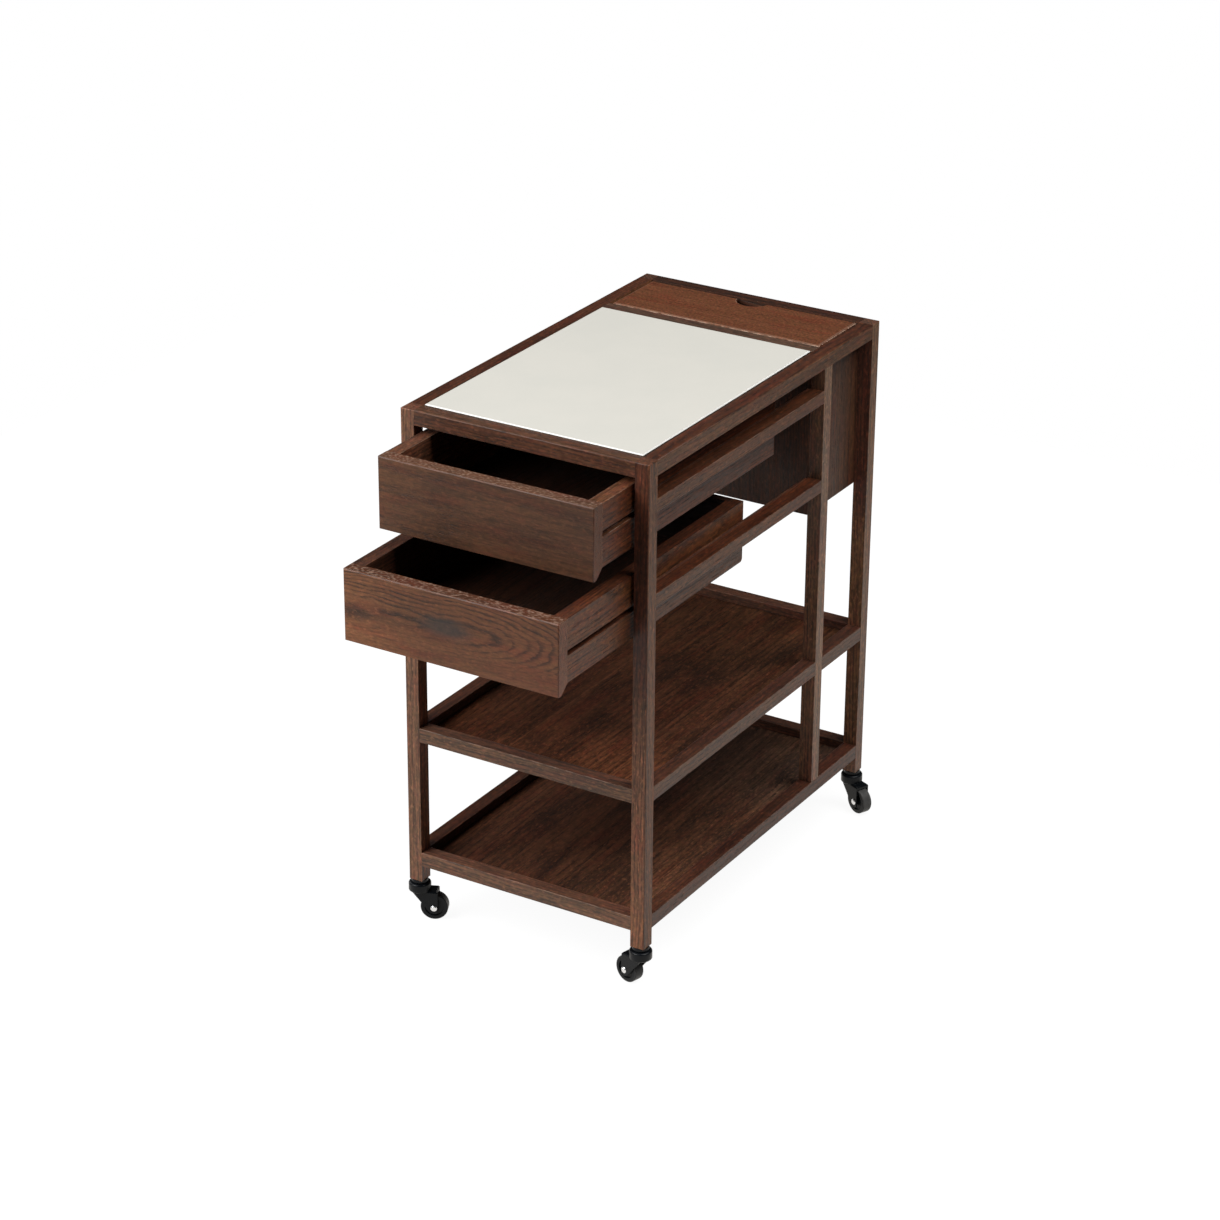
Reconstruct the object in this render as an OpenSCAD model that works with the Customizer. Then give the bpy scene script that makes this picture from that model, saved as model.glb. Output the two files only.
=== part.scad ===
// Cheese trolley: a square-section wooden frame on four swivel casters, with a
// slab and a lidded bin in its top, two drawers on wooden runners and two tray
// shelves. Millimetres, +Z up, floor at z = 0, drawer fronts towards -Y. The
// model is drawn as it stands with both drawers drawn out, and its origin is
// the floor point under the middle of that.

/* [Frame] */
// Width over the posts
frame_w = 450; // [400:5:560]
// Length over the posts
frame_l = 750; // [690:5:960]
// Height of the top frame above the floor
frame_h = 907; // [885:1:1000]
// Side of the square posts, and width of every rail
post_t = 25; // [23:1:32]
// Height of the top rails and the shelf rails
rail_h = 25; // [24:1:30]
// Height of the side rails that carry the drawers
side_rail_h = 22; // [18:1:28]
// Drop from the frame's top to the top of the upper side rails
upper_rail_drop = 63; // [55:1:72]
// Drop from the frame's top to the top of the lower side rails
lower_rail_drop = 220; // [208:1:232]
// Thickness of the tenons on the rails
tenon_t = 8; // [5:1:8]
// Shoulder above and below each tenon
tenon_shoulder = 4; // [2:0.5:6]
// Round on the frame's outer corners and top edges, and on the drawer fronts' ends
edge_r = 2; // [1:0.5:3]

/* [Shelves] */
// Height of the middle shelf's rail tops above the floor
mid_shelf_z = 356; // [260:2:420]
// Height of the low shelf's rail tops above the floor
low_shelf_z = 128; // [112:1:180]
// Depth of the trays, from the rail tops down to the panel
tray_depth = 16; // [8:1:17]
// Thickness of the shelf panels
shelf_panel_t = 6; // [4:1:7]
// Depth of the grooves that hold the shelf panels
panel_groove = 6; // [3:0.5:7]

/* [Slab and lid] */
// Thickness of the slab
slab_t = 12; // [8:1:14]
// Height of the slab's face above the frame
slab_proud = 2; // [0:0.5:4]
// Gap round the slab
slab_gap = 2.5; // [1:0.5:4]
// Chamfer round the slab's top edge
slab_edge = 1.5; // [0.5:0.5:3]
// Height of the ledges under the slab
ledge_h = 10; // [6:1:12]
// Width of the ledges under the slab
ledge_w = 12; // [8:1:18]
// Thickness of the lid
lid_t = 14; // [10:1:18]
// Gap round the lid
lid_gap = 4; // [2:0.5:6]
// Width of the soft edge round the lid's face
lid_edge = 3.5; // [1:0.5:5]
// Fall of the lid's soft edge
lid_edge_fall = 1.5; // [0.5:0.5:3]
// Radius of the finger notch in the lid's rear edge
notch_r = 30; // [20:1:38]

/* [Bin] */
// Length of the bin, over the middle and rear posts
bin_l = 190; // [150:5:240]
// Depth of the bin below the top rails
bin_depth = 263; // [160:1:300]
// Thickness of the bin's four panels
bin_panel_t = 12; // [10:1:18]
// Thickness of the bin's floor
bin_floor_t = 8; // [5:1:10]
// Depth of the bin's own housings and grooves
bin_groove = 5; // [3:0.5:6]

/* [Drawers] */
// Height of the drawer fronts
drawer_front_h = 120; // [106:1:130]
// Thickness of the drawer fronts
drawer_front_t = 25; // [20:1:32]
// Thickness of the drawer sides
drawer_side_t = 24; // [18:1:28]
// Gap between a drawer and the posts beside it
drawer_gap = 6; // [5:0.5:9]
// Gap above the upper drawer, below the top rail
drawer_top_gap = 13; // [6:1:20]
// Distance from one drawer to the next, top to top
drawer_pitch = 151; // [140:1:158]
// Rise of the bevelled finger pull behind the front's lower edge
pull_rise = 15; // [8:1:22]
// Flat left on the front's lower edge, in front of the bevel
pull_lip = 8; // [4:1:14]
// Thickness of the drawer backs
drawer_back_t = 15; // [10:1:20]
// Thickness of the drawer bottoms
drawer_bottom_t = 6; // [4:1:9]
// Height of a drawer's bottom panel above the lower edge of its sides
drawer_bottom_lift = 8; // [5:1:14]
// Depth of the grooves that hold the bottom and the back
drawer_groove = 6; // [3:0.5:8]
// Round on the lower rear corners of the lower drawer's sides
lower_corner_r = 6; // [3:0.5:8]
// How far the upper drawer stands open
upper_open = 108; // [0:2:200]
// How far the lower drawer stands open
lower_open = 206; // [0:2:380]

/* [Runners] */
// Height of the tongue that carries the drawer
tongue_h = 8.4; // [6:0.2:12]
// Depth of the groove in the drawer's side
runner_groove = 8; // [5:0.5:10]
// Drop from the side rail's underside to the middle of the tongue
tongue_drop = 3; // [0:0.5:4]
// Height of the runner's plate on the side rail, above the rail's underside
runner_plate_h = 22; // [8:1:28]

/* [Casters] */
// Height from the floor to the feet of the posts
caster_h = 74; // [68:1:90]
// Diameter of the wheels
wheel_d = 46; // [36:1:50]
// Width of the wheels
wheel_w = 19; // [14:0.5:22]
// Distance from the swivel axis to the wheel's axle
caster_trail = 24.5; // [20:0.5:28]
// Diameter of the axles
axle_d = 5; // [4:0.5:8]
// Diameter of the swivel raceway
raceway_d = 37.5; // [32:0.5:44]
// Thickness of the fork's cheeks
cheek_t = 2.5; // [2:0.25:4]
// Diameter of the stem in the foot of the post
stem_d = 10; // [8:1:12]
// Length of the stem in the foot of the post
stem_l = 30; // [20:1:36]
// Yaw of the front left caster
yaw_front_left = 25; // [-180:1:180]
// Yaw of the front right caster
yaw_front_right = 165; // [-180:1:180]
// Yaw of the rear right caster
yaw_rear_right = -24; // [-180:1:180]
// Yaw of the rear left caster
yaw_rear_left = -156; // [-180:1:180]

/* [Hidden] */
$fn = 64;
slide_clear = 0.3;    // above and below a tongue, and at the raceway's faces
pivot_clear = 0.06;   // radial, between a shaft and what turns on it
seat_clear = 0.05;    // radial, round a shaft that stays put
panel_play = 1;       // room for a panel to swell in its groove
runner_play = 2;      // between a runner's end and a closed drawer's front
drawer_rear_gap = 3;  // between a closed drawer and the bin
tongue_play = 0.8;    // between a tongue's edge and the groove's bottom
plate_play = 1.5;     // between a runner's plate and the drawer's side
front_ease = 1.5;     // chamfer on the drawer front's upper front edge

// Places along the frame
mid_y = frame_l - bin_l;
rear_y = frame_l - post_t;
right_x = frame_w - post_t;
inner_w = frame_w - 2 * post_t;
top_under_z = frame_h - rail_h;
tenon_l = (post_t - tenon_t) / 2 - 0.5;

// Drawers
drawer_x = post_t + drawer_gap;
drawer_w = frame_w - 2 * drawer_x;
drawer_l = mid_y - drawer_rear_gap;
drawer_side_h = drawer_front_h - pull_rise;
drawer_floor_z = pull_rise + drawer_bottom_lift;
upper_drawer_z = top_under_z - drawer_top_gap - drawer_front_h;
lower_drawer_z = upper_drawer_z - drawer_pitch;
upper_tongue_z = frame_h - upper_rail_drop - side_rail_h - tongue_drop;
lower_tongue_z = frame_h - lower_rail_drop - side_rail_h - tongue_drop;

// Bin, slab and lid
bin_z = top_under_z - bin_depth;
bin_floor_z = bin_z + 6;
slab_z = frame_h + slab_proud - slab_t;
lid_z = frame_h - lid_t;
lid_y = mid_y + post_t + lid_gap;
lid_l = rear_y - lid_gap - lid_y;

// Casters
axle_z = wheel_d / 2;
collar_h = 6.5;
collar_r = 14;
crown_t = 3.5;
fork_round = 3;
flank_rise = 12;      // of the fork's rear edge, straight up from the boss
crown_under_z = wheel_d + 3.7;
crown_z = crown_under_z + crown_t;
raceway_z = crown_z - 2;
raceway_top_z = caster_h - collar_h - slide_clear;
raceway_round = 3.5;
wheel_gap = 1;        // between the wheel's hub and each cheek
tyre_inset = 0.4;     // of the tyre's side from the hub's face
tyre_round = 2;
fork_w = wheel_w + 2 * wheel_gap + 2 * cheek_t;
boss_r = axle_d / 2 + 8;
kingpin_r = 4;
kingpin_head_r = 6.5;
kingpin_head_h = 2.4;
axle_head_r = axle_d / 2 + 2.8;
axle_head_h = 2.4;
fork_front = -12.5;
fork_rear = caster_trail + 6.5;
skirt_h = 6;

// The origin, midway between the open drawers and the rear casters
overhang = raceway_d / 2 - post_t / 2;
origin_y = (frame_l + overhang - max(upper_open, lower_open)) / 2;

// Colours
frame_brown = [0.36, 0.26, 0.22];
front_brown = [0.42, 0.29, 0.24];
inside_brown = [0.25, 0.16, 0.13];
lid_brown = [0.45, 0.26, 0.18];
slab_white = [0.89, 0.87, 0.84];
caster_black = [0.10, 0.10, 0.11];
bright_steel = [0.80, 0.81, 0.82];

// Name, swivel axis and yaw of each caster
near = post_t / 2;
CASTERS = [
    ["front_left", near, near, yaw_front_left],
    ["front_right", frame_w - near, near, yaw_front_right],
    ["rear_left", near, frame_l - near, yaw_rear_left],
    ["rear_right", frame_w - near, frame_l - near, yaw_rear_right],
];

// Name, low corner and size of each rail
function rail_across(name, y, top, h) =
    [name, [post_t, y, top - h], [inner_w, post_t, h]];
function rail_along(name, x, y0, y1, top, h) =
    [name, [x, y0, top - h], [post_t, y1 - y0, h]];
function shelf_rails(name, top) = [
    rail_across(str(name, "_rail_front"), 0, top, rail_h),
    rail_across(str(name, "_rail_rear"), rear_y, top, rail_h),
    rail_along(str(name, "_rail_left"), 0, post_t, rear_y, top, rail_h),
    rail_along(str(name, "_rail_right"), right_x, post_t, rear_y, top, rail_h),
];
function side_rails(name, top) = [
    rail_along(str(name, "_left"), 0, post_t, mid_y, top, side_rail_h),
    rail_along(str(name, "_right"), right_x, post_t, mid_y, top, side_rail_h),
];
TOP_CROSS = rail_across("top_rail_cross", mid_y, frame_h, rail_h);
TOP_RAILS = [
    rail_across("top_rail_front", 0, frame_h, rail_h),
    rail_across("top_rail_rear", rear_y, frame_h, rail_h),
    rail_along("top_rail_left", 0, post_t, rear_y, frame_h, rail_h),
    rail_along("top_rail_right", right_x, post_t, rear_y, frame_h, rail_h),
];
SIDE_RAILS = concat(
    side_rails("upper_side_rail", frame_h - upper_rail_drop),
    side_rails("lower_side_rail", frame_h - lower_rail_drop));
MID_RAILS = shelf_rails("mid_shelf", mid_shelf_z);
LOW_RAILS = shelf_rails("low_shelf", low_shelf_z);
RAILS = concat(TOP_RAILS, SIDE_RAILS, MID_RAILS, LOW_RAILS);

// Name and low corner of each post
CORNER_POSTS = [
    ["post_front_left", [0, 0, caster_h]],
    ["post_front_right", [right_x, 0, caster_h]],
    ["post_rear_left", [0, rear_y, caster_h]],
    ["post_rear_right", [right_x, rear_y, caster_h]],
];
MID_POSTS = [
    ["post_mid_left", [0, mid_y, low_shelf_z]],
    ["post_mid_right", [right_x, mid_y, low_shelf_z]],
];

DRAWER_PARTS = ["front", "side_left", "side_right", "back", "bottom"];

module from_origin() {
    translate([-frame_w / 2, -origin_y, 0]) children();
}

// A box from its low corner to its high corner
module block(low, high) {
    translate(low) cube(high - low);
}

// Mirrors what is drawn for the left side over to the right one
module on_side(side) {
    if (side == "left") children();
    else translate([frame_w, 0, 0]) mirror([1, 0, 0]) children();
}

// A rectangle from the origin, with rounded corners
module soft_square(size, r) {
    translate([r, 0]) square([size[0] - 2 * r, size[1]]);
    translate([0, r]) square([size[0], size[1] - 2 * r]);
    for (x = [r, size[0] - r])
        for (y = [r, size[1] - r]) translate([x, y]) circle(r = r);
}

// A profile in Y and Z, drawn out along X
module along_x(length) {
    rotate([90, 0, 90]) linear_extrude(length) children();
}

// A profile in X and Z, drawn out along Y
module along_y(length) {
    translate([0, length, 0]) rotate([90, 0, 0]) linear_extrude(length) children();
}

// ---- Frame ----

// A rail's tenons: one bar through the rail that stands out at both ends
module tenons(rail) {
    size = rail[2];
    core_h = size[2] - 2 * tenon_shoulder;
    core = size[0] > size[1]
        ? [size[0] + 2 * tenon_l, tenon_t, core_h]
        : [tenon_t, size[1] + 2 * tenon_l, core_h];
    translate(rail[1] + (size - core) / 2) cube(core);
}

// A middle post's tenons, into the top rail above and the low rail below
module mid_post_tenons(x) {
    core = [tenon_t, post_t - 2 * tenon_shoulder];
    translate([x + (post_t - core[0]) / 2, mid_y + (post_t - core[1]) / 2,
               low_shelf_z - tenon_l])
        cube([core[0], core[1], top_under_z - low_shelf_z + 2 * tenon_l]);
}

// What the frame stands in, with rounded upright corners and top edges
module frame_outside() {
    intersection() {
        linear_extrude(frame_h) soft_square([frame_w, frame_l], edge_r);
        along_x(frame_w) soft_square([frame_l, frame_h], edge_r);
        along_y(frame_l) soft_square([frame_w, frame_h], edge_r);
    }
}

module corner_post(low) {
    color(frame_brown)
    difference() {
        intersection() {
            translate(low) cube([post_t, post_t, frame_h - caster_h]);
            frame_outside();
        }
        for (r = RAILS) tenons(r);
        translate([low[0] + post_t / 2, low[1] + post_t / 2, caster_h - 1])
            cylinder(d = stem_d + 2 * seat_clear, h = stem_l + 2);
    }
}

// Where a middle post crosses the middle shelf's rail: the post keeps the
// outer half of the crossing and the rail keeps the inner one
module crossing(side, from_x, to_x) {
    on_side(side)
        block([from_x, mid_y, mid_shelf_z - rail_h],
              [to_x, mid_y + post_t, mid_shelf_z]);
}

module mid_post(low) {
    side = low[0] == 0 ? "left" : "right";
    color(frame_brown)
    difference() {
        union() {
            translate(low) cube([post_t, post_t, top_under_z - low_shelf_z]);
            mid_post_tenons(low[0]);
        }
        for (r = SIDE_RAILS) tenons(r);
        crossing(side, post_t / 2, post_t + 1);
    }
}

module plain_rail(rail) {
    translate(rail[1]) cube(rail[2]);
    tenons(rail);
}

module top_rail(rail) {
    color(frame_brown)
    difference() {
        intersection() {
            plain_rail(rail);
            frame_outside();
        }
        if (rail[2][1] > rail[2][0]) {
            tenons(TOP_CROSS);
            mid_post_tenons(rail[1][0]);
        }
    }
}

module side_rail(rail) {
    color(frame_brown) plain_rail(rail);
}

// ---- Shelves ----

// The space of a shelf's panel, reaching the given depth into the rails
module panel_space(top, reach) {
    block([post_t - reach, post_t - reach, top - tray_depth - shelf_panel_t],
          [right_x + reach, rear_y + reach, top - tray_depth]);
}

module shelf_rail(rail, top) {
    side = rail[1][0] == 0 ? "left" : "right";
    runs_along = rail[2][1] > rail[2][0];
    color(frame_brown)
    difference() {
        plain_rail(rail);
        panel_space(top, panel_groove);
        if (runs_along && top == mid_shelf_z) crossing(side, -1, post_t / 2);
        if (runs_along && top == low_shelf_z) mid_post_tenons(rail[1][0]);
    }
}

module shelf_panel(top) {
    color(inside_brown)
    difference() {
        panel_space(top, panel_groove - panel_play);
        for (p = CORNER_POSTS)
            translate([p[1][0], p[1][1], 0]) cube([post_t, post_t, frame_h]);
    }
}

// ---- Slab and lid ----

// A board from the origin up, with a sloped edge round its top face
module eased_board(size, edge, fall) {
    intersection() {
        along_x(size[0]) eased_profile(size[1], size[2], edge, fall);
        along_y(size[1]) eased_profile(size[0], size[2], edge, fall);
    }
}

module eased_profile(w, h, edge, fall) {
    polygon([[0, 0], [w, 0], [w, h - fall], [w - edge, h], [edge, h],
             [0, h - fall]]);
}

module slab() {
    color(slab_white)
    translate([post_t + slab_gap, post_t + slab_gap, slab_z])
        eased_board([inner_w - 2 * slab_gap, mid_y - post_t - 2 * slab_gap,
                     slab_t], slab_edge, slab_edge);
}

module slab_ledges() {
    low = slab_z - ledge_h;
    color(inside_brown) {
        for (side = ["left", "right"])
            on_side(side) block([post_t, post_t, low],
                                [post_t + ledge_w, mid_y, slab_z]);
        for (y = [post_t, mid_y - ledge_w])
            block([post_t + ledge_w + 0.5, y, low],
                  [right_x - ledge_w - 0.5, y + ledge_w, slab_z]);
    }
}

module lid() {
    color(lid_brown)
    difference() {
        translate([post_t + lid_gap, lid_y, lid_z])
            eased_board([inner_w - 2 * lid_gap, lid_l, lid_t], lid_edge,
                        lid_edge_fall);
        translate([frame_w / 2, rear_y, lid_z - 1])
            cylinder(r = notch_r, h = lid_t + 2);
    }
}

// ---- Bin ----

module bin_floor_space(reach) {
    t = bin_panel_t - reach;
    block([post_t + t, mid_y + t, bin_floor_z],
          [right_x - t, frame_l - t, bin_floor_z + bin_floor_t]);
}

// A side panel. Its upper edge stands between the top frame's rails and
// carries the end of the lid.
module bin_side_space(side) {
    housing = bin_panel_t - bin_groove;
    on_side(side) {
        block([post_t, mid_y + housing, bin_z],
              [post_t + bin_panel_t, frame_l - housing, top_under_z]);
        block([post_t, mid_y + post_t, bin_z],
              [post_t + bin_panel_t, rear_y, lid_z]);
    }
}

module bin_side(side) {
    color(frame_brown)
    difference() {
        bin_side_space(side);
        bin_floor_space(bin_groove);
    }
}

module bin_end(y) {
    color(frame_brown)
    difference() {
        block([post_t, y, bin_z], [right_x, y + bin_panel_t, top_under_z]);
        bin_side_space("left");
        bin_side_space("right");
        bin_floor_space(bin_groove);
    }
}

module bin_floor() {
    color(inside_brown) bin_floor_space(bin_groove - panel_play / 2);
}

// ---- Runners ----

// A plate on the side rail's inner face, with the tongue along its foot
module runners(tongue_z) {
    rail_under = tongue_z + tongue_drop;
    low = tongue_z - tongue_h / 2;
    y0 = drawer_front_t + runner_play;
    y1 = mid_y - 2 * runner_play;
    color(inside_brown)
    for (side = ["left", "right"])
        on_side(side) {
            block([post_t, y0, low],
                  [drawer_x - plate_play, y1, rail_under + runner_plate_h]);
            block([post_t, y0, low],
                  [drawer_x + runner_groove - tongue_play, y1, low + tongue_h]);
        }
}

// ---- Drawers, each drawn closed with its front's lower edge at z = 0 ----

// A side's inner face is at this x on the left of the frame
drawer_inner_x = drawer_x + drawer_side_t;

module drawer_side_tenon(side) {
    inset = (drawer_side_t - tenon_t) / 2;
    on_side(side)
        block([drawer_x + inset, drawer_front_t - tenon_l, pull_rise + 12],
              [drawer_x + inset + tenon_t, drawer_front_t + 1,
               drawer_front_h - 12]);
}

module drawer_bottom_space(reach) {
    block([drawer_inner_x - reach, drawer_front_t - reach, drawer_floor_z],
          [frame_w - drawer_inner_x + reach, drawer_l + 1,
           drawer_floor_z + drawer_bottom_t]);
}

module drawer_front() {
    color(front_brown)
    difference() {
        translate([drawer_x, 0, 0])
            intersection() {
                along_x(drawer_w)
                    polygon([[0, 0], [pull_lip, 0], [drawer_front_t, pull_rise],
                             [drawer_front_t, drawer_front_h],
                             [front_ease, drawer_front_h],
                             [0, drawer_front_h - front_ease]]);
                linear_extrude(drawer_front_h)
                    soft_square([drawer_w, drawer_front_t + 2 * edge_r], edge_r);
            }
        for (side = ["left", "right"]) drawer_side_tenon(side);
        drawer_bottom_space(drawer_groove);
    }
}

// The back's place, flush with the sides' ends and housed in a rebate in each
module drawer_back_space(past) {
    block([drawer_inner_x - drawer_groove, drawer_l - drawer_back_t,
           drawer_floor_z + drawer_bottom_t],
          [frame_w - drawer_inner_x + drawer_groove, drawer_l + past,
           drawer_front_h + past]);
}

// What comes off a side's lower rear corner to round it
module corner_waste(side, r) {
    on_side(side)
        translate([drawer_x - 1, 0, 0]) along_x(drawer_side_t + 2)
            difference() {
                translate([drawer_l - r, pull_rise - 1]) square([r + 1, r + 1]);
                translate([drawer_l - r, pull_rise + r]) circle(r = r);
            }
}

// The runner's groove, at the tongue's height above the front's lower edge
module drawer_side(side, tongue_up, corner_r) {
    half = tongue_h / 2 + slide_clear;
    color(frame_brown)
    difference() {
        union() {
            on_side(side)
                block([drawer_x, drawer_front_t, pull_rise],
                      [drawer_inner_x, drawer_l, drawer_front_h]);
            drawer_side_tenon(side);
        }
        on_side(side)
            block([drawer_x - 1, drawer_front_t, tongue_up - half],
                  [drawer_x + runner_groove, drawer_l + 1, tongue_up + half]);
        drawer_back_space(1);
        drawer_bottom_space(drawer_groove);
        if (corner_r > 0) corner_waste(side, corner_r);
    }
}

module drawer_back() {
    color(inside_brown) drawer_back_space(0);
}

module drawer_bottom() {
    reach = drawer_groove - panel_play / 2;
    color(inside_brown)
    intersection() {
        drawer_bottom_space(reach);
        block([0, 0, 0], [frame_w, drawer_l, drawer_front_h]);
    }
}

module drawer_part(part, tongue_up, corner_r) {
    if (part == "front") drawer_front();
    if (part == "side_left") drawer_side("left", tongue_up, corner_r);
    if (part == "side_right") drawer_side("right", tongue_up, corner_r);
    if (part == "back") drawer_back();
    if (part == "bottom") drawer_bottom();
}

// ---- Casters, drawn with the swivel axis up Z and the trail along +X ----

module at_caster(caster) {
    translate([caster[1], caster[2], 0]) rotate(caster[3]) children();
}

// Stem, collar and kingpin, in one turned and riveted piece
module caster_stem() {
    collar_z = caster_h - collar_h;
    head_top = crown_under_z - slide_clear;
    head_z = head_top - kingpin_head_h;
    rotate_extrude()
        polygon([[0, head_z], [kingpin_head_r - 1.2, head_z],
                 [kingpin_head_r, head_z + 1.2], [kingpin_head_r, head_top],
                 [kingpin_r, head_top], [kingpin_r, collar_z],
                 [collar_r - 1, collar_z], [collar_r, collar_z + 1],
                 [collar_r, caster_h], [stem_d / 2, caster_h],
                 [stem_d / 2, caster_h + stem_l - 1.5],
                 [stem_d / 2 - 1.5, caster_h + stem_l],
                 [0, caster_h + stem_l]]);
}

module caster_stems() {
    color(caster_black)
    for (c = CASTERS) at_caster(c) caster_stem();
}

// The point where a line from p touches the round boss, on the boss's lower
// left side
function touch(p, centre, r) =
    let (d = centre - p, reach = norm(d),
         bearing = atan2(d[1], d[0]), swing = asin(r / reach),
         run = sqrt(reach * reach - r * r))
    p + run * [cos(bearing - swing), sin(bearing - swing)];

// The fork's side: crown above, tapering down to the round axle boss
module fork_outline() {
    boss = [caster_trail, axle_z];
    start = [fork_front, crown_z];
    polygon([start, touch(start, boss, boss_r), boss, [boss[0] + boss_r, axle_z],
             [boss[0] + boss_r, axle_z + flank_rise],
             [fork_rear, crown_z - fork_round], [fork_rear - 2, crown_z]]);
    translate(boss) circle(r = boss_r);
}

// A U upside down: rounded shoulders outside, the wheel's room inside
module fork_section() {
    r = fork_round;
    half = fork_w / 2;
    inner = half - cheek_t;
    difference() {
        union() {
            translate([-half, 0]) square([fork_w, crown_z - r]);
            translate([-half + r, 0]) square([fork_w - 2 * r, crown_z]);
            for (s = [-1, 1]) translate([s * (half - r), crown_z - r]) circle(r = r);
        }
        translate([-inner, -1]) square([2 * inner, crown_z - crown_t + 1]);
    }
}

// The turned raceway on the crown, with a round shoulder
module raceway() {
    r = raceway_d / 2;
    shoulder = r - raceway_round;
    rotate_extrude() {
        polygon([[0, raceway_z], [r - 1.5, raceway_z], [r, raceway_z + 1.5],
                 [r, raceway_top_z - raceway_round],
                 [shoulder, raceway_top_z - raceway_round],
                 [shoulder, raceway_top_z], [0, raceway_top_z]]);
        translate([shoulder, raceway_top_z - raceway_round]) circle(r = raceway_round);
    }
}

module caster_fork() {
    half = fork_w / 2;
    run = fork_rear - fork_front;
    difference() {
        union() {
            intersection() {
                translate([0, -half, 0]) along_y(fork_w) fork_outline();
                translate([fork_front, 0, 0]) along_x(run) fork_section();
            }
            // the rear skirt, behind the wheel
            block([fork_rear - cheek_t, -half + 1, crown_z - skirt_h],
                  [fork_rear, half - 1, crown_z - 2]);
            raceway();
        }
        translate([0, 0, crown_under_z - 1])
            cylinder(r = kingpin_r + pivot_clear, h = raceway_top_z - crown_under_z + 2);
        translate([caster_trail, half + 1, axle_z]) rotate([90, 0, 0])
            cylinder(r = axle_d / 2 + seat_clear, h = fork_w + 2);
    }
}

// A shaft with a domed head outside each cheek
module caster_axle() {
    half = fork_w / 2;
    tip = half + axle_head_h;
    translate([caster_trail, 0, axle_z]) rotate([90, 0, 0])
        rotate_extrude()
            polygon([[0, -tip], [axle_head_r - 1.8, -tip], [axle_head_r, -tip + 1.3],
                     [axle_head_r, -half], [axle_d / 2, -half],
                     [axle_d / 2, half], [axle_head_r, half],
                     [axle_head_r, tip - 1.3], [axle_head_r - 1.8, tip], [0, tip]]);
}

// Hub, recessed web and round-shouldered tread, turned about the axle
module caster_wheel() {
    half = wheel_w / 2;
    r = wheel_d / 2;
    bore = axle_d / 2 + pivot_clear;
    hub_r = boss_r - 4;
    web_r = r - 7;
    web_depth = 3;
    tyre_half = half - tyre_inset;
    translate([caster_trail, 0, axle_z]) rotate([90, 0, 0])
        rotate_extrude() {
            translate([bore, -half]) square([hub_r - bore, wheel_w]);
            translate([bore, -half + web_depth])
                square([web_r + 1 - bore, wheel_w - 2 * web_depth]);
            translate([web_r, -tyre_half])
                square([r - tyre_round - web_r, 2 * tyre_half]);
            translate([web_r, -tyre_half + tyre_round])
                square([r - web_r, 2 * (tyre_half - tyre_round)]);
            for (s = [-1, 1])
                translate([r - tyre_round, s * (tyre_half - tyre_round)])
                    circle(r = tyre_round);
        }
}

// ---- The nodes ----

from_origin() {
    for (p = CORNER_POSTS)
        corner_post(p[1]);
    for (p = MID_POSTS)
        mid_post(p[1]);
    for (r = TOP_RAILS)
        top_rail(r);
    for (r = SIDE_RAILS)
        side_rail(r);
    for (r = MID_RAILS)
        shelf_rail(r, mid_shelf_z);
    for (r = LOW_RAILS)
        shelf_rail(r, low_shelf_z);
    side_rail(TOP_CROSS);  // top_rail_cross
    runners(upper_tongue_z);  // upper_runners
    runners(lower_tongue_z);  // lower_runners
    shelf_panel(mid_shelf_z);  // mid_shelf_panel
    shelf_panel(low_shelf_z);  // low_shelf_panel
    slab();
    slab_ledges();
    lid();
    bin_end(mid_y);  // bin_front
    bin_end(frame_l - bin_panel_t);  // bin_rear
    bin_side("left");  // bin_left
    bin_side("right");  // bin_right
    bin_floor();
    caster_stems();

    for (p = DRAWER_PARTS) {
        translate([0, -upper_open, upper_drawer_z])
            drawer_part(p, upper_tongue_z - upper_drawer_z, 0);
        translate([0, -lower_open, lower_drawer_z])
            drawer_part(p, lower_tongue_z - lower_drawer_z, lower_corner_r);
    }

    for (c = CASTERS) {
        at_caster(c) color(caster_black) caster_fork();
        at_caster(c) color(bright_steel) caster_axle();
        at_caster(c) color(caster_black) caster_wheel();
    }
}
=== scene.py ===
"""Cheese trolley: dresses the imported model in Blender. Metres, in the row frame."""

import math
import random
from types import SimpleNamespace

import bpy
from mathutils import Euler, Matrix, Vector


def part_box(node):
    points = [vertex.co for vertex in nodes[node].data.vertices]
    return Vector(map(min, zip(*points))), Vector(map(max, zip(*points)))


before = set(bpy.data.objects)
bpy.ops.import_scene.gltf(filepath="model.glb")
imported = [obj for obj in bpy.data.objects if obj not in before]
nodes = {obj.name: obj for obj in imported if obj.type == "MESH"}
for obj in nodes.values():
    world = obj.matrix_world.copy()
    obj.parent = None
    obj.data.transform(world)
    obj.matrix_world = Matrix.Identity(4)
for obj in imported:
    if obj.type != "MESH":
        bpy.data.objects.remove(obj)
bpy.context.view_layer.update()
rng = random.Random(7)

WHITE = (1.0, 1.0, 1.0)
# What a noise's colour lies about
MIDDLE = (0.5, 0.5, 0.5)

# ---- Camera, at the photograph's viewing angle ----

CAMERA_AT = Vector((2.668458, -4.442043, 2.882428))
CAMERA_RIGHT = Vector((0.854990, 0.518602, 0.006575))
CAMERA_DOWN = Vector((0.221121, -0.353024, -0.909109))
CAMERA_AHEAD = Vector((-0.469145, 0.778733, -0.416506))
FOCAL_PX = 3494.4
IMAGE_PX = 1220
SENSOR_MM = 36.0

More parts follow.
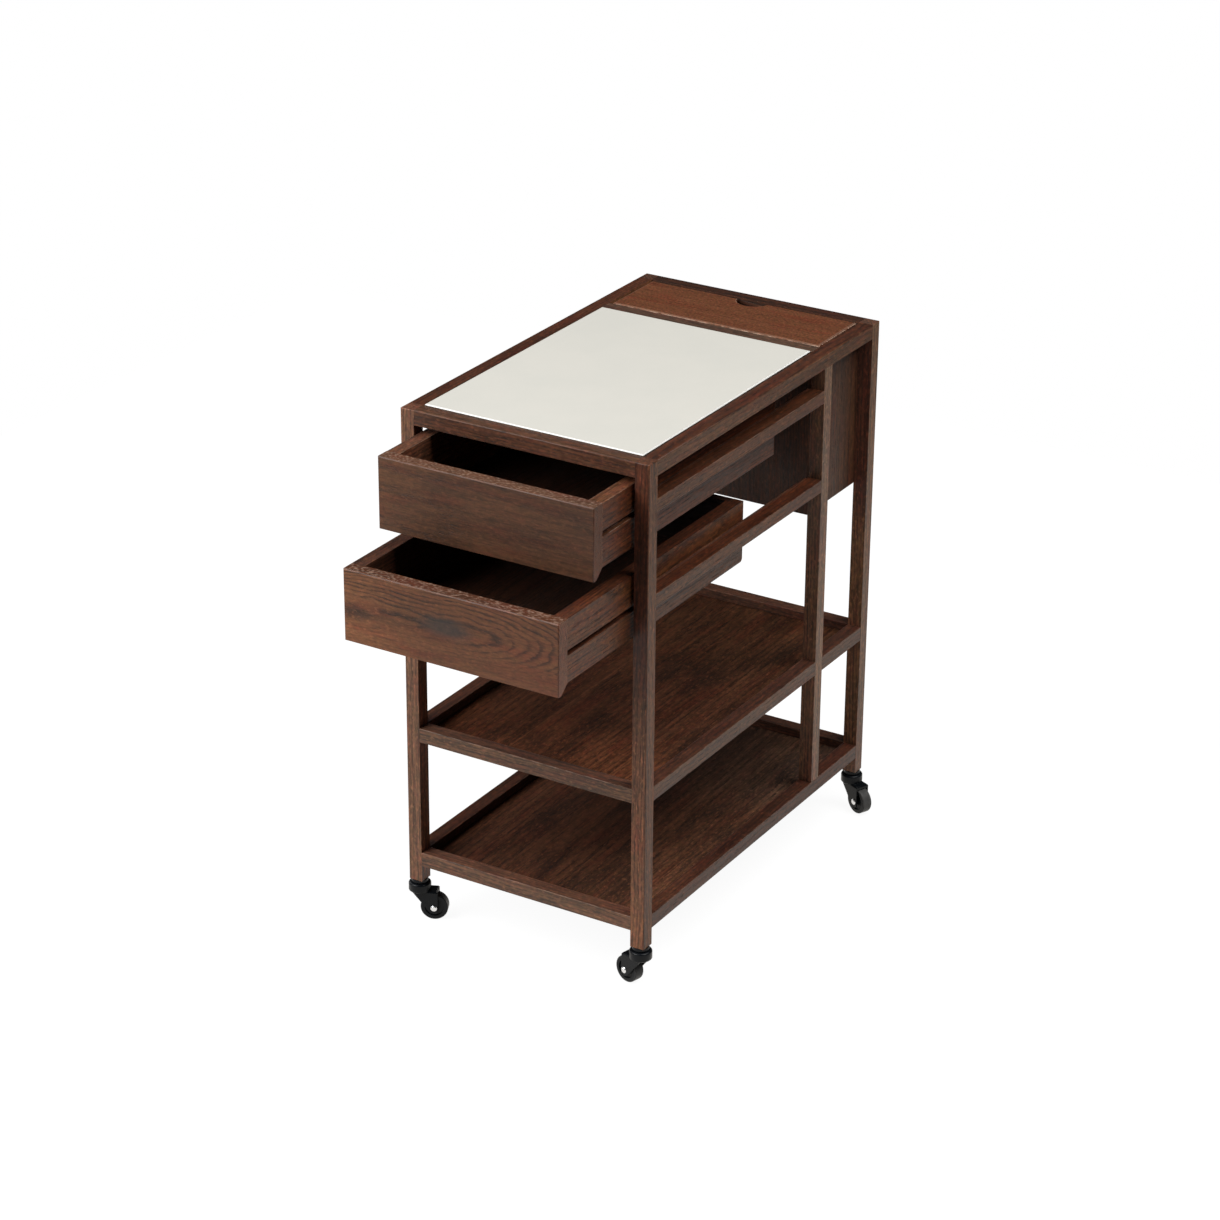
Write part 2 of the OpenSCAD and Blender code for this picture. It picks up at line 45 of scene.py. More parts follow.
camera_data = bpy.data.cameras.new("camera")
camera_data.sensor_width = SENSOR_MM
camera_data.lens = FOCAL_PX / IMAGE_PX * SENSOR_MM
camera = bpy.data.objects.new("camera", camera_data)
camera_axes = Matrix((CAMERA_RIGHT, -CAMERA_DOWN, -CAMERA_AHEAD)).transposed()
camera.matrix_world = Matrix.Translation(CAMERA_AT) @ camera_axes.to_4x4()
bpy.context.scene.collection.objects.link(camera)
bpy.context.scene.camera = camera
bpy.context.scene.view_settings.view_transform = "Standard"


# ---- Material graphs ----


class Graph:
    """A node tree, written as calls. A value is a number, a tuple or a socket."""

    def __init__(self, name, tree=None):
        if tree is None:
            self.material = bpy.data.materials.new(name)
            self.material.use_nodes = True
            tree = self.material.node_tree
        self.tree = tree
        self.tree.nodes.clear()

    def node(self, kind, inputs=(), **settings):
        made = self.tree.nodes.new("ShaderNode" + kind)
        for key, value in settings.items():
            setattr(made, key, value)
        for key, value in dict(inputs).items():
            self.feed(made.inputs[key], value)
        return made

    def feed(self, socket, value):
        if isinstance(value, bpy.types.NodeSocket):
            self.tree.links.new(value, socket)
        elif socket.type == "RGBA" and len(value) == 3:
            socket.default_value = (*value, 1.0)
        else:
            socket.default_value = value

    def math(self, operation, *values, clamp=False):
        made = self.node("Math", dict(enumerate(values)), operation=operation)
        made.use_clamp = clamp
        return made.outputs[0]

    def plus(self, a, b):
        return self.math("ADD", a, b)

    def times(self, a, b, clamp=False):
        return self.math("MULTIPLY", a, b, clamp=clamp)

    def vector(self, operation, *values):
        made = self.node("VectorMath", operation=operation)
        for i, value in enumerate(values):
            self.feed(made.inputs["Scale" if operation == "SCALE" and i else i], value)
        return made.outputs["Value" if operation == "LENGTH" else 0]

    def split(self, vector):
        return tuple(self.node("SeparateXYZ", {0: vector}).outputs)

    def mix(self, factor, a, b, blend="MIX"):
        made = self.node("Mix", data_type="RGBA", blend_type=blend)
        for key, value in ((0, factor), (6, a), (7, b)):
            self.feed(made.inputs[key], value)
        return made.outputs[2]

    def lay(self, tone, mask, share, over, blend="MIX"):
        """tone, with a share of another over it where the mask is."""
        return self.mix(self.times(mask, share), tone, over, blend)

    def span(self, value, low, high, to_low=0.0, to_high=1.0, smooth=False):
        """value's run from low to high, clamped and mapped."""
        made = self.node("MapRange", {0: value, 1: low, 2: high, 3: to_low, 4: to_high})
        made.interpolation_type = "SMOOTHSTEP" if smooth else "LINEAR"
        return made.outputs[0]

    def noise(self, at, scale=1.0, detail=2.0, roughness=0.5):
        """The outputs of a noise: Fac and Color."""
        return self.node("TexNoise", {"Vector": at, "Scale": scale, "Detail": detail,
                                      "Roughness": roughness}).outputs

    def place(self):
        """Where on the object, along its own axes."""
        return self.node("TexCoord").outputs["Object"]

    def facing(self):
        """How far the face looks along x, y and z."""
        return self.split(self.node("NewGeometry").outputs["True Normal"])

    def surface(self, colour, rough, relief, more):
        """Ends a material. relief: the bump's height, distance and strength."""
        bump = self.node("Bump", zip(("Height", "Distance", "Strength"), relief))
        shader = self.node("BsdfPrincipled", {"Base Color": colour, "Roughness": rough,
                                              "Normal": bump.outputs[0], **more})
        self.node("OutputMaterial", {"Surface": shader.outputs[0]})
        return self.material


def scaled(colour, gain):
    return tuple(part * gain for part in colour)


# ---- Wood ----

# Stained oak: its usual tone, its streaks and its dark grain
BASE = (0.080, 0.0285, 0.0125)
LIGHT = (0.128, 0.047, 0.0225)
DARK = (0.027, 0.0095, 0.0048)

# Wood rubbed bare of stain, also the tone of the painted highlight on chamfers, the
# middle of a knot, and what redder stain multiplies by
RUBBED_AND_HIGHLIGHT = (0.40, 0.27, 0.20)
KNOT = (0.030, 0.025, 0.025)
BLUSH = (1.0, 0.62, 0.66)

# The hue of the painted sheen
SHEEN_HUE = (1.0, 0.95, 0.88)

# What turns a board's grain along X
GRAIN_TURN = {
    "x": Euler((0.0, 0.0, 0.0)),
    "y": Euler((0.0, 0.0, -math.pi / 2)),
    "z": Euler((0.0, math.pi / 2, 0.0)),
}

# How far each board's noise is shifted along x, y and z per seed, and where it wraps
SEED_STEPS = ((1.37, 9.1), (2.71, 7.3), (0.93, 5.9))

# The noises of a board: scale along the grain and across it, detail and roughness
GRAIN_NOISES = {
    "drift": (7.0, 18.0, 3.0, 0.5),
    "calm": (11.0, 40.0, 2.0, 0.5),
    "dashes": (45.0, 800.0, 2.0, 0.6),
    "fibre": (12.0, 260.0, 3.0, 0.7),
    "streak": (3.5, 70.0, 3.0, 0.6),
    "cloud": (5.0, 15.0, 3.0, 0.5),
    "fleck": (110.0, 300.0, 2.0, 0.5),
    "blush": (9.0, 48.0, 3.0, 0.5),
    "edge": (60.0, 260.0, 3.0, 0.5),
    "crown": (170.0, 320.0, 2.0, 0.5),
}
SPOTS_ALONG, SPOTS_ACROSS = 100.0, 190.0

# What a board has where its row in WOODS says nothing else. Its pith and tilt are
# drawn in dress_wood.
PLAIN = {
    # How steeply the rings swell towards the board's face, about which place along
    # it, and how far the side before that place counts
    "bulge": (0.0, 0.0, 1.0),
    # Width of a ring, and how far the rings wander
    "ring": 0.0052,
    "wander": 0.006,
    # Heights between which the figure sets in
    "calm": None,
    # Shares of the rings, veins, streaks, fibres and light flecks
    "figure": 0.5,
    "veins": 0.45,
    "streaky": 1.0,
    "grainy": 1.0,
    "flecks": 0.45,
    # Share and tone of the patches of deeper stain
    "patch": 0.25,
    "patch_tone": (0.024, 0.012, 0.008),
    # Place and half sizes, along and up, of a dark patch on the face
    "knot": None,
    # Where two boards are joined, across the grain
    "seam": None,
    # How strong the stain's spots are, and how small
    "mottle": 0.8,
    "fine": 1.0,
    # Painted light and shade: what the colour is multiplied by on each face from +x to
    # -z, lighter or darker by how light falls on it, and where given, the axis and the
    # two places between which that sets in
    "faces": (),
    # Painted sheen: grey added to the colour in place of the finish's reflection
    "bloom": 0.0,
    # Painted highlight: how much lighter a shallow chamfer round the top is
    "rim": 0.0,
    # How much the top face is rubbed light in flecks
    "crown": 0.0,
    # Specular level of the finish
    "gloss": 0.5,
}


def grain_noise(g, seeded, kind):
    """One of the board's noises, stretched along the grain."""
    along, across, detail, roughness = GRAIN_NOISES[kind]
    at = g.vector("MULTIPLY", seeded, (along, across, across))
    return g.noise(at, detail=detail, roughness=roughness)


def ring_figure(g, look, bent, seeded, seed):
    """How porous the wood is and where its veins lie, by its rings about the pith."""
    x, y, z = g.split(bent)
    steep, middle, lopsided = look.bulge
    along = g.math("SUBTRACT", x, middle)
    along = g.math("MAXIMUM", along, g.times(along, -lopsided))
    swell = g.times(g.times(along, along), steep)
    across = g.plus(g.times(x, look.tilt[0]), g.plus(y, g.plus(swell, look.pith[0])))
    through = g.plus(g.times(x, look.tilt[1]), g.plus(z, look.pith[1]))
    radius = g.math("SQRT", g.plus(g.times(across, across), g.times(through, through)))

    # The rings are of uneven width, porous at their start and with a vein at the end
    year = g.node("CombineXYZ", {0: radius, 1: seed * 0.7, 2: 0.0}).outputs[0]
    uneven = g.noise(year, scale=90.0, detail=1.0)["Fac"]
    count = g.plus(g.math("DIVIDE", radius, look.ring), g.times(uneven, 1.6))
    phase = g.math("FRACT", count)
    early = g.span(phase, 0.0, 0.45, 1.0, 0.0, smooth=True)
    late = g.span(phase, 0.82, 1.0, 0.0, 0.6)
    porous = g.math("MAXIMUM", early, late)
    vein = g.span(phase, 0.84, 0.99)
    if look.calm:
        faded = grain_noise(g, seeded, "calm")["Fac"]
        lively = g.times(g.span(z, *look.calm, 0.2, 1.0, smooth=True),
                         g.span(faded, 0.36, 0.56, 0.35, 1.15))
        porous = g.times(porous, lively)
        vein = g.times(vein, lively)
    return porous, vein


def stain(g, look, tones, board, seeded, seed):
    """The stained grain, with the fibres and the pores that its finish follows too."""
    base, light, dark = tones
    drift = g.vector("SUBTRACT", grain_noise(g, seeded, "drift")["Color"], MIDDLE)
    bent = g.vector("ADD", board, g.vector("SCALE", drift, look.wander * 2.0))
    porous, vein = ring_figure(g, look, bent, seeded, seed)
    dashes, fibre, streak, cloud, fleck, blush = (
        grain_noise(g, seeded, kind)["Fac"]
        for kind in ("dashes", "fibre", "streak", "cloud", "fleck", "blush"))

    # Pores are short dark dashes, thick in the porous wood. A vein shows where the
    # streaks are dark.
    pores = g.times(g.span(dashes, 0.48, 0.66), g.plus(g.times(porous, 0.8), 0.2),
                    clamp=True)
    vein = g.times(vein, g.span(streak, 0.56, 0.42))

    # Where each layer lies, its share, its tone and how it is laid on
    layers = (
        (g.span(streak, 0.34, 0.68, smooth=True), look.streaky, light, "MIX"),
        (g.span(fibre, 0.48, 0.68), 0.7 * look.grainy, light, "MIX"),
        (g.span(fibre, 0.52, 0.34), 0.75 * look.grainy, dark, "MIX"),
        (porous, look.figure, dark, "MIX"),
        (g.span(blush, 0.50, 0.66), 0.55, BLUSH, "MULTIPLY"),
        (g.span(cloud, 0.48, 0.70, smooth=True), look.patch, look.patch_tone, "MIX"),
        (vein, look.veins, scaled(dark, 0.3), "MIX"),
        (pores, 0.75, scaled(dark, 0.35), "MIX"),
        (g.span(fleck, 0.56, 0.72), look.flecks, scaled(light, 1.8), "MIX"),
    )
    tone = base
    for mask, share, over, blend in layers:
        tone = g.lay(tone, mask, share, over, blend)

    if look.knot:
        x, z, half_along, half_up = look.knot
        flat = g.vector("MULTIPLY", g.vector("SUBTRACT", bent, (x, 0.0, z)),
                        (1 / half_along, 0.0, 1 / half_up))
        near = g.span(g.vector("LENGTH", flat), 1.0, 0.25, smooth=True)
        tone = g.lay(tone, near, 0.75, KNOT)
    if look.seam is not None:
        off = g.math("ABSOLUTE", g.math("SUBTRACT", g.split(board)[1], look.seam))
        tone = g.mix(g.span(off, 0.0014, 0.0006, 0.0, 0.5), tone, scaled(light, 1.6))

    # The stain takes unevenly, in spots a few millimetres wide
    along, across = SPOTS_ALONG * look.fine ** 1.5, SPOTS_ACROSS * look.fine
    spots = g.noise(g.vector("MULTIPLY", seeded, (along, across, across)),
                    detail=2.0, roughness=0.6)
    swing = 0.34 * look.mottle
    shade = g.span(spots["Fac"], 0.3, 0.7, 1.0 - swing, 1.0 + swing)
    hue = g.vector("SUBTRACT", spots["Color"], MIDDLE)
    hue = g.vector("ADD", g.vector("SCALE", hue, 0.55 * look.mottle), WHITE)
    tone = g.vector("MULTIPLY", g.vector("SCALE", tone, shade), hue)
    return tone, fibre, pores


def paint_face_light(g, look, tone, where, facing):
    """The tone, multiplied by the painted light and shade that each face of the board
    is given.
    """
    place = g.split(where)
    for face, gain, *run in look.faces:
        sign = 1.0 if face[0] == "+" else -1.0
        share = g.span(g.times(facing["xyz".index(face[1])], sign), 0.7, 0.9)
        if run:
            along, start, end = run
            share = g.times(share, g.span(place["xyz".index(along)], start, end))
        gains = gain if isinstance(gain, tuple) else (gain,) * 3
        tone = g.mix(share, tone, gains, "MULTIPLY")
    return tone


def wood(name, seed, centre, grain, tones, look, worn=0.0):
    """Stained open-grain oak: growth rings about a pith beside the board, with dark
    pores along them, fibre streaks, veins and patches of deeper stain. worn: how much
    of it is rubbed bare, on the edges."""
    g = Graph(name)
    where = g.place()
    turn = GRAIN_TURN[grain]
    shift = -(turn.to_matrix() @ Vector(centre))
    board = g.node("Mapping", {"Vector": where, "Rotation": tuple(turn),
                               "Location": tuple(shift)}).outputs[0]
    seeded = g.vector("ADD", board, tuple(seed * step % wrap
                                          for step, wrap in SEED_STEPS))
    facing = g.facing()

    tone, fibre, pores = stain(g, look, tones, board, seeded, seed)
    # Painted light and shade on each face
    tone = paint_face_light(g, look, tone, where, facing)
    # Painted sheen: a grey added to the colour in place of a reflection
    tone = g.vector("ADD", tone, scaled(SHEEN_HUE, look.bloom))
    # Painted highlight on the shallow chamfer round the top
    if look.rim:
        slope = g.times(g.span(facing[2], 0.97, 0.94), g.span(facing[2], 0.80, 0.86))
        tone = g.lay(tone, slope, look.rim, RUBBED_AND_HIGHLIGHT)
    if worn:
        rubbed = grain_noise(g, seeded, "edge")["Fac"]
        tone = g.lay(tone, g.span(rubbed, 0.40, 0.60), worn, RUBBED_AND_HIGHLIGHT)
    elif look.crown:
        rubbed = grain_noise(g, seeded, "crown")["Fac"]
        topside = g.times(g.span(facing[2], 0.7, 0.9), look.crown)
        tone = g.lay(tone, g.span(rubbed, 0.50, 0.66), topside, RUBBED_AND_HIGHLIGHT)

    rough = g.plus(g.span(fibre, 0.3, 0.7, 0.40, 0.53), g.times(pores, 0.2))
    height = g.math("SUBTRACT", g.times(fibre, 0.25), pores)
    return g.surface(tone, rough, (height, 0.00025, 0.7),
                     {"IOR": 1.4, "Specular IOR Level": look.gloss})


# The shelves' panels: dull, blotched and with wide faint rings
PANEL = {"gloss": 0.2, "patch": 0.75, "patch_tone": (0.017, 0.0075, 0.0045),
         "ring": 0.011, "figure": 0.35, "veins": 0.2}

# Both drawers' fronts
DRAWER_FRONT = {"mottle": 0.5, "flecks": 0.2, "bloom": 0.003, "crown": 0.36}

# Grain, gain, edge wear and further settings of each wooden node, by the start of its
# name. The face settings in them are painted light and shade. The first row that fits a
# name is taken.
WOODS = [
    ("post_front_left", "z", 1.45, 0.25,
     {"bloom": 0.006, "faces": [("+z", 0.7), ("-y", (1.11, 1.38, 1.50))]}),
    ("post_front_right", "z", 1.0, 0.25,
     {"bloom": 0.001, "faces": [("-y", (1.71, 1.86, 1.80), "z", 0.60, 0.50),
                                ("-y", (0.85, 0.66, 0.58), "z", 0.50, 0.60),
                                ("+x", (1.20, 1.24, 0.97))]}),
    ("post_mid", "z", 1.8, 0.25,
     {"bloom": 0.022, "faces": [("+x", (1.18, 1.62, 1.72)),
                                ("-y", (1.0, 1.15, 1.06))]}),
    ("post_rear_right", "z", 1.6, 0.25,
     {"bloom": 0.011, "faces": [("+z", 0.5), ("+x", (1.12, 1.48, 1.52)),
                                ("-y", (1.40, 1.70, 1.58), "z", 0.62, 0.56),
                                ("-y", (0.88, 0.68, 0.62), "z", 0.56, 0.62)]}),
    ("post_rear_left", "z", 1.2, 0.25, {"bloom": 0.006, "faces": [("+z", 0.6)]}),
    ("top_rail_front", "x", 0.88, 0.6,
     {"bloom": 0.002, "faces": [("+z", (0.82, 0.94, 0.93))]}),
    ("top_rail_rear", "x", 0.5, 0.2,
     {"bloom": 0.002, "faces": [("+z", (0.66, 0.55, 0.42))]}),
    ("top_rail_cross", "x", 1.05, 0.2,
     {"bloom": 0.006, "faces": [("+z", (0.70, 0.92, 1.06))]}),
    ("top_rail_", "y", 0.78, 0.25,
     {"faces": [("+z", (0.75, 0.63, 0.54)), ("+x", (1.45, 1.65, 1.50))]}),
    ("upper_side_rail", "y", 0.94, 0.2,
     {"faces": [("+z", (0.72, 0.60, 0.42)), ("+x", (1.17, 1.19, 1.0))]}),
    ("lower_side_rail", "y", 0.94, 0.2,
     {"faces": [("+z", (0.76, 0.55, 0.36)), ("+x", (1.05, 1.10, 0.92))]}),
    ("mid_shelf_rail_front", "x", 1.07, 0.35,
     {"bloom": 0.011, "faces": [("-y", (1.08, 1.34, 1.32))]}),
    ("mid_shelf_rail_rear", "x", 1.0, 0.0, {"bloom": 0.005}),
    ("mid_shelf_rail_", "y", 0.97, 0.2,
     {"bloom": 0.003, "faces": [("+x", (1.02, 1.17, 1.08)),
                                ("+z", (0.72, 0.63, 0.60))]}),
    ("low_shelf_rail_front", "x", 1.17, 0.25,
     {"bloom": 0.011, "faces": [("-y", (1.04, 1.27, 1.30))]}),
    ("low_shelf_rail_rear", "x", 1.0, 0.0, {"bloom": 0.005}),
    ("low_shelf_rail_", "y", 0.73, 0.2, {"faces": [("+z", (0.85, 0.75, 0.70))]}),
    ("upper_runners", "y", 0.9, 0.0, {}),
    ("lower_runners", "y", 0.9, 0.0, {}),
    ("slab_ledges", "y", 0.6, 0.0, {}),
    ("mid_shelf_panel", "y", 0.67, 0.0,
     {**PANEL, "seam": 0.06,
      "faces": [("+z", (1.75, 1.62, 1.50), "y", -0.05, -0.20),
                ("+z", (1.10, 1.18, 1.10), "y", 0.10, 0.30)]}),
    ("low_shelf_panel", "y", 0.76, 0.0,
     {**PANEL, "bloom": 0.003,
      "faces": [("+z", (1.3, 1.4, 1.4), "x", 0.0, 0.10),
                ("+z", (1.0, 1.25, 1.5), "y", 0.12, 0.25)]}),
    ("bin_front", "z", 0.64, 0.0, {"faces": [("-y", (1.08, 1.0, 0.87))]}),
    ("bin_rear", "z", 0.75, 0.0, {}),
    ("bin_left", "z", 0.8, 0.1, {}),
    ("bin_right", "z", 0.80, 0.1,
     {"bloom": 0.002, "faces": [("+x", (0.93, 1.0, 0.90))]}),
    ("bin_floor", "y", 0.6, 0.0, {}),
    ("lid", "x", 1.22, 0.9,
     {"figure": 0.05, "patch": 0.05, "veins": 0.0, "grainy": 0.2, "streaky": 0.3,
      "gloss": 0.2, "mottle": 1.2, "fine": 1.8, "flecks": 0.2, "rim": 0.16}),
    ("upper_drawer_front", "x", 0.97, 0.7,
     {**DRAWER_FRONT, "pith": (0.3, 0.02), "figure": 0.2, "veins": 0.15,
      "streaky": 0.35, "grainy": 0.6,
      "faces": [("+x", 1.3), ("+z", (1.00, 1.08, 1.05)), ("-y", (0.92, 1.01, 0.96)),
                ("-y", (1.42, 1.46, 1.44), "x", -0.08, -0.18)]}),
    ("lower_drawer_front", "x", 1.27, 0.7,
     {**DRAWER_FRONT, "pith": (0.055, -0.004), "tilt": (0.0, -0.04), "figure": 0.8,
      "veins": 0.8, "streaky": 0.4, "grainy": 0.4,
      "bulge": (0.6, -0.02, 0.3), "ring": 0.0046, "wander": 0.010,
      "calm": (-0.045, 0.0), "knot": (-0.008, 0.007, 0.062, 0.027),
      "faces": [("+x", 1.3), ("+z", (0.60, 0.46, 0.26)), ("-y", (1.05, 1.08, 0.98)),
                ("-y", (1.60, 1.66, 1.60), "x", -0.04, -0.16)]}),
    # Painted shade: the drawers' backs and bottoms have a low gain, for their dark
    # insides
    ("upper_drawer_back", "x", 0.3, 0.0, {}),
    ("lower_drawer_back", "x", 0.3, 0.0, {}),
    ("upper_drawer_bottom", "y", 0.30, 0.0, {}),
    ("lower_drawer_bottom", "y", 0.40, 0.0, {}),
    ("upper_drawer_side_left", "y", 0.98, 0.3,
     {"veins": 0.9, "faces": [("+z", (0.98, 1.05, 1.14))]}),
    ("upper_drawer_side", "y", 0.98, 0.3,
     {"veins": 0.9, "faces": [("+z", (1.15, 1.16, 1.0)), ("+x", (1.02, 0.80, 0.58))]}),
    ("lower_drawer_side_left", "y", 0.95, 0.3,
     {"veins": 0.8, "faces": [("+x", 0.5), ("+z", (0.82, 0.84, 0.95))]}),
    ("lower_drawer_side", "y", 0.95, 0.3,
     {"veins": 0.8, "faces": [("+z", (0.76, 0.58, 0.42)), ("+x", (1.16, 1.06, 0.74))]}),
]


def centre_of(node):
    low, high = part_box(node)
    return (low + high) / 2


def dress_wood(node, seed):
    """The node's wood, and the same wood rubbed light if its edges are worn. Nothing
    if the node isn't wooden."""
    for start, grain, gain, wear, more in WOODS:
        if node.startswith(start):
            # The pith's distance beside and below the board, and the grain's slope
            pith = tuple(rng.uniform(0.03, 0.09) * rng.choice((-1, 1)) for _ in "yz")
            tilt = tuple(rng.uniform(-0.03, 0.03) for _ in "yz")
            look = SimpleNamespace(**{**PLAIN, "pith": pith, "tilt": tilt, **more})
            gain *= rng.uniform(0.95, 1.05)
            tones = [scaled(tone, gain) for tone in (BASE, LIGHT, DARK)]
            board = (seed, centre_of(node), grain, tones, look)
            made = [wood(node, *board)]
            if wear:
                made.append(wood(node + "_edge", *board, worn=wear))
            return made
    return []


# ---- Other materials ----

# The slab's two broad tones, its specks, the painted highlight on its sloped edge and
# the painted shade on its sides in the gap round it
SLAB_TONES = (0.519, 0.505, 0.460), (0.499, 0.489, 0.446)
SLAB_SPECK = (0.48, 0.465, 0.42)
SLAB_EDGE_HIGHLIGHT = (0.78, 0.77, 0.74)
SLAB_GAP_SHADE = (0.05, 0.03, 0.02)

# Height of the rails' tops, below which the slab's sides are painted dark, as shade in
# the gap
GAP_SHADE_TOP = 0.9070

STEEL_TONES = (0.80, 0.81, 0.82), (0.70, 0.71, 0.73)
FORK_TONE = (0.0035, 0.0045, 0.006)
WHEEL_TONE = (0.005, 0.006, 0.0075)

# A wheel's tread lies beyond this distance from its centre. Two wheels' treads are
# painted lighter, a painted sheen where the light falls on them.
TREAD_FROM = 0.0226
TREAD_TONE = (0.014, 0.0145, 0.015)
TREADS_PAINTED_SHEEN = {
    "caster_wheel_rear_right": (0.080, 0.078, 0.075),
    "caster_wheel_front_right": (0.035, 0.035, 0.035),
}


def slab_material():
    g = Graph("slab")
    where = g.place()
    facing = g.facing()
    broad = g.noise(where, scale=9.0, detail=3.0)["Fac"]
    fine = g.noise(where, scale=420.0, detail=2.0)["Fac"]
    tone = g.mix(g.span(broad, 0.35, 0.65), *SLAB_TONES)
    tone = g.lay(tone, g.span(fine, 0.62, 0.75), 0.08, SLAB_SPECK)
    # Painted highlight on the sloped edge
    tone = g.mix(g.span(facing[2], 0.97, 0.90), tone, SLAB_EDGE_HIGHLIGHT)
    # Painted shade on the slab's sides below the rails' tops, in the gap round it
    upright = g.span(g.math("ABSOLUTE", facing[2]), 0.5, 0.3)
    below = g.span(g.split(where)[2], GAP_SHADE_TOP + 0.0004, GAP_SHADE_TOP - 0.0002)
    tone = g.lay(tone, below, upright, SLAB_GAP_SHADE)
    return g.surface(tone, g.span(broad, 0.3, 0.7, 0.55, 0.65), (fine, 0.00004, 0.5),
                     {"IOR": 1.5, "Specular IOR Level": 0.25})


def black(name, tone, rough, grain, centre=None, tread=None):
    """Black metal or plastic. With a wheel's centre, its tread has its own tone."""
    g = Graph(name)
    where = g.place()
    fine = g.noise(where, scale=grain, detail=3.0)["Fac"]
    dust = g.noise(where, scale=70.0, detail=3.0)["Fac"]
    colour = g.lay(tone, g.span(dust, 0.5, 0.75), 0.35, scaled(tone, 2.2))
    if centre is not None:
        reach = g.vector("LENGTH", g.vector("SUBTRACT", where, tuple(centre)))
        beyond = g.span(reach, TREAD_FROM - 0.0003, TREAD_FROM + 0.0003)
        colour = g.lay(colour, beyond, g.span(dust, 0.3, 0.6, 0.7, 1.0), tread)
    return g.surface(colour, g.span(dust, 0.3, 0.7, rough - 0.05, rough + 0.12),
                     (fine, 0.00006, 0.5), {"IOR": 1.36, "Specular IOR Level": 0.3})


def bright_steel():
    g = Graph("axle_steel")
    fine = g.noise(g.place(), scale=1200.0, detail=2.0)["Fac"]
    return g.surface(g.mix(fine, *STEEL_TONES), g.span(fine, 0.3, 0.7, 0.18, 0.32),
                     (fine, 0.00003, 0.3), {"Metallic": 1.0})


SLAB = slab_material()
FORK_BLACK = black("caster_black", FORK_TONE, 0.26, 900.0)
STEEL = bright_steel()


# ---- The CAD nodes ----

# Width of the rounding on drawer fronts and lid, other wood, and hard materials. It
# takes the edges that turn by more than the angle.
EASE_FRONT = 0.0015
EASE_WOOD = 0.0009
EASE_HARD = 0.0004
EASE_ANGLE = math.radians(40)
WELD_WITHIN = 1e-5


def ease(obj, width, edge=0):
    """Joins a node's faces and rounds its edges, in its material of that number."""
    weld = obj.modifiers.new("weld", "WELD")
    weld.merge_threshold = WELD_WITHIN
    bevel = obj.modifiers.new("ease", "BEVEL")
    bevel.width = width
    bevel.segments = 2
    bevel.limit_method = "ANGLE"
    bevel.angle_limit = EASE_ANGLE
    bevel.harden_normals = True
    bevel.material = edge


def paint(obj, *materials):
    obj.data.materials.clear()
    for material in materials:
        obj.data.materials.append(material)


for seed, (name, obj) in enumerate(sorted(nodes.items()), start=1):
    boards = dress_wood(name, seed)
    if boards:
        paint(obj, *boards)
        rounder = name.endswith("drawer_front") or name == "lid"
        ease(obj, EASE_FRONT if rounder else EASE_WOOD, edge=len(boards) - 1)
    elif name == "slab":
        paint(obj, SLAB)
        ease(obj, EASE_HARD)
    elif name.startswith("caster_wheel"):
        # Some treads are painted lighter, as sheen
        tread = TREADS_PAINTED_SHEEN.get(name, TREAD_TONE)
        paint(obj, black(name, WHEEL_TONE, 0.38, 600.0, centre_of(name), tread))
    elif name.startswith("caster_axle"):
        paint(obj, STEEL)
    else:
        paint(obj, FORK_BLACK)
        ease(obj, EASE_HARD)


# ---- Stage and light ----

# Half the floor's width. To the camera the floor glows pale over a dark coat that
# takes a little shade. The glow is warmer in a reflection. To all other light the
# floor is plain grey.
FLOOR_HALF = 2.2
FLOOR_GLOW = 0.94
FLOOR_REFLECTED = (1.0, 0.95, 0.89)
FLOOR_COAT = (0.10, 0.10, 0.10)
FLOOR_GREY = (0.40, 0.40, 0.40)

# The world's fill light, and how strong it is
FILL_TONE = (0.96, 0.98, 1.0)
FILL = 0.05

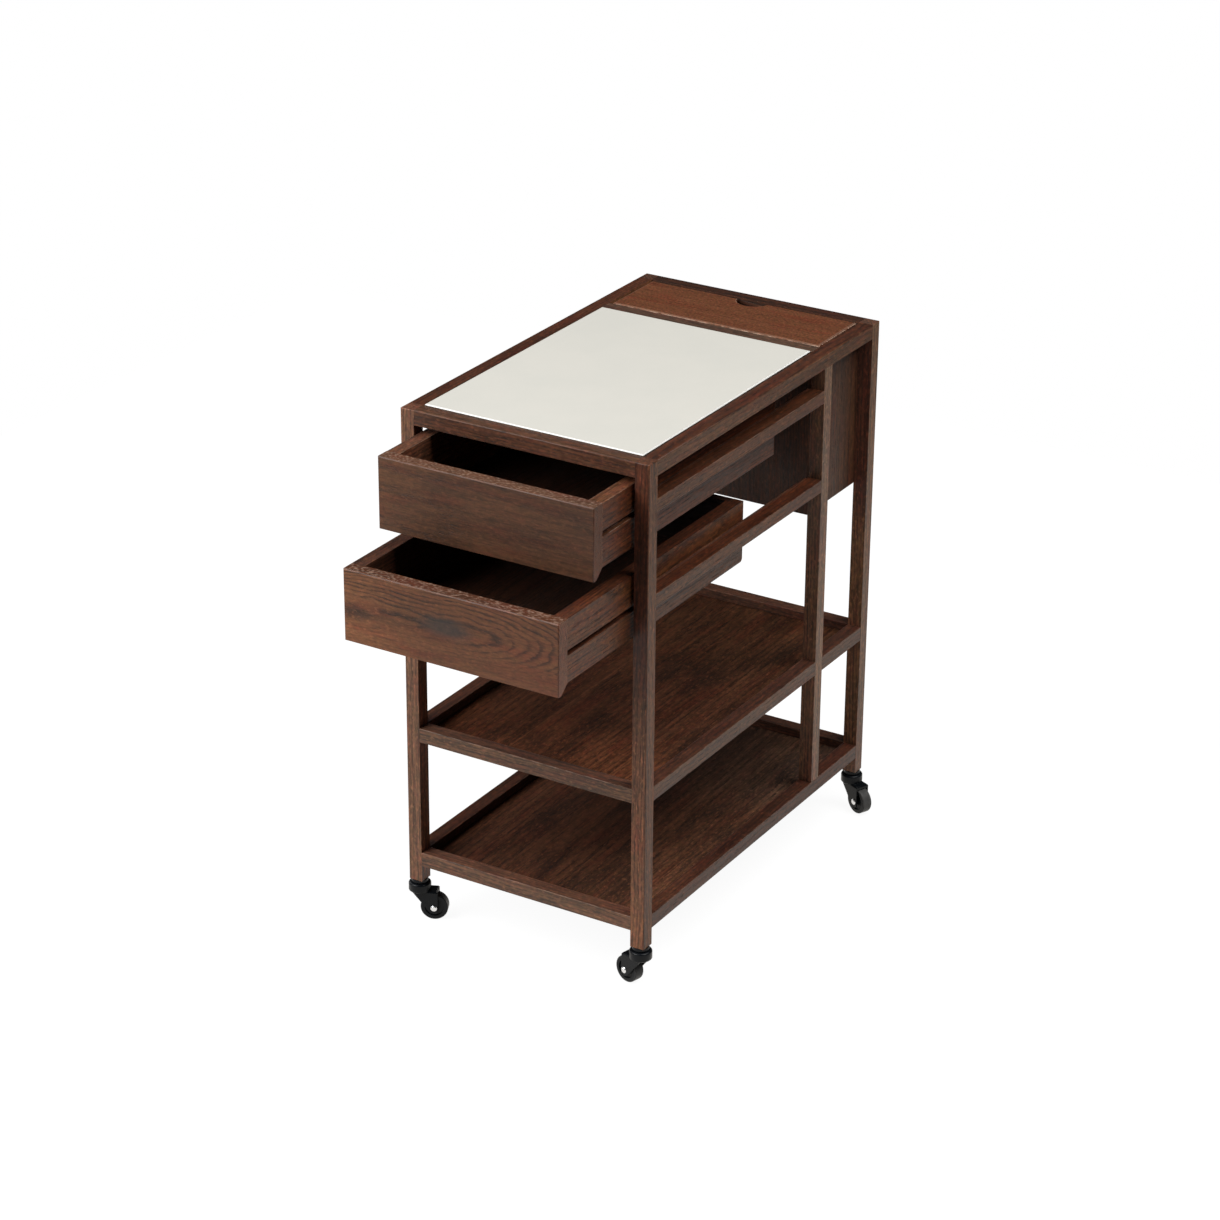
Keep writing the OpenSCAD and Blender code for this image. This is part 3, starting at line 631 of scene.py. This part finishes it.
# Square lamps: name, place, side and watts. All are aimed at the trolley's middle.
LAMPS = (
    ("key", (-2.1, -3.0, 3.3), 3.2, 250.0),
    ("left", (-3.6, 0.4, 1.5), 2.6, 40.0),
    ("right", (2.2, 0.3, 4.2), 2.6, 170.0),
)
AIM = Vector((0.0, 0.1, 0.5))


def stage_floor():
    corners = [(x * FLOOR_HALF, y * FLOOR_HALF, 0)
               for x, y in ((-1, -1), (1, -1), (1, 1), (-1, 1))]
    mesh = bpy.data.meshes.new("floor")
    mesh.from_pydata(corners, [], [(0, 1, 2, 3)])
    floor = bpy.data.objects.new("floor", mesh)
    bpy.context.scene.collection.objects.link(floor)
    g = Graph("floor")
    path = g.node("LightPath").outputs
    mirrored = path["Is Glossy Ray"]
    seen = g.math("MAXIMUM", path["Is Camera Ray"],
                  g.math("MAXIMUM", mirrored, path["Is Transmission Ray"]))
    plain = g.node("BsdfDiffuse", {"Color": FLOOR_GREY}).outputs[0]
    coat = g.node("BsdfDiffuse", {"Color": FLOOR_COAT}).outputs[0]
    tone = g.mix(mirrored, WHITE, FLOOR_REFLECTED)
    glow = g.node("Emission", {"Color": tone, "Strength": FLOOR_GLOW}).outputs[0]
    pale = g.node("AddShader", {0: coat, 1: glow}).outputs[0]
    both = g.node("MixShader", {0: seen, 1: plain, 2: pale}).outputs[0]
    g.node("OutputMaterial", {"Surface": both})
    floor.data.materials.append(g.material)


def stage_world():
    world = bpy.data.worlds.new("world")
    bpy.context.scene.world = world
    world.use_nodes = True
    g = Graph("world", world.node_tree)
    seen = g.node("LightPath").outputs["Is Camera Ray"]
    fill = g.node("Background", {"Color": FILL_TONE, "Strength": FILL}).outputs[0]
    white = g.node("Background", {"Color": WHITE, "Strength": 1.0}).outputs[0]
    both = g.node("MixShader", {0: seen, 1: fill, 2: white}).outputs[0]
    g.node("OutputWorld", {"Surface": both})


def stage_lamp(name, at, side, watts):
    data = bpy.data.lights.new(name, "AREA")
    data.shape = "SQUARE"
    data.size = side
    data.energy = watts
    lamp = bpy.data.objects.new(name, data)
    lamp.location = at
    lamp.rotation_euler = (AIM - Vector(at)).to_track_quat("-Z", "Y").to_euler()
    bpy.context.scene.collection.objects.link(lamp)


stage_floor()
stage_world()
for lamp in LAMPS:
    stage_lamp(*lamp)
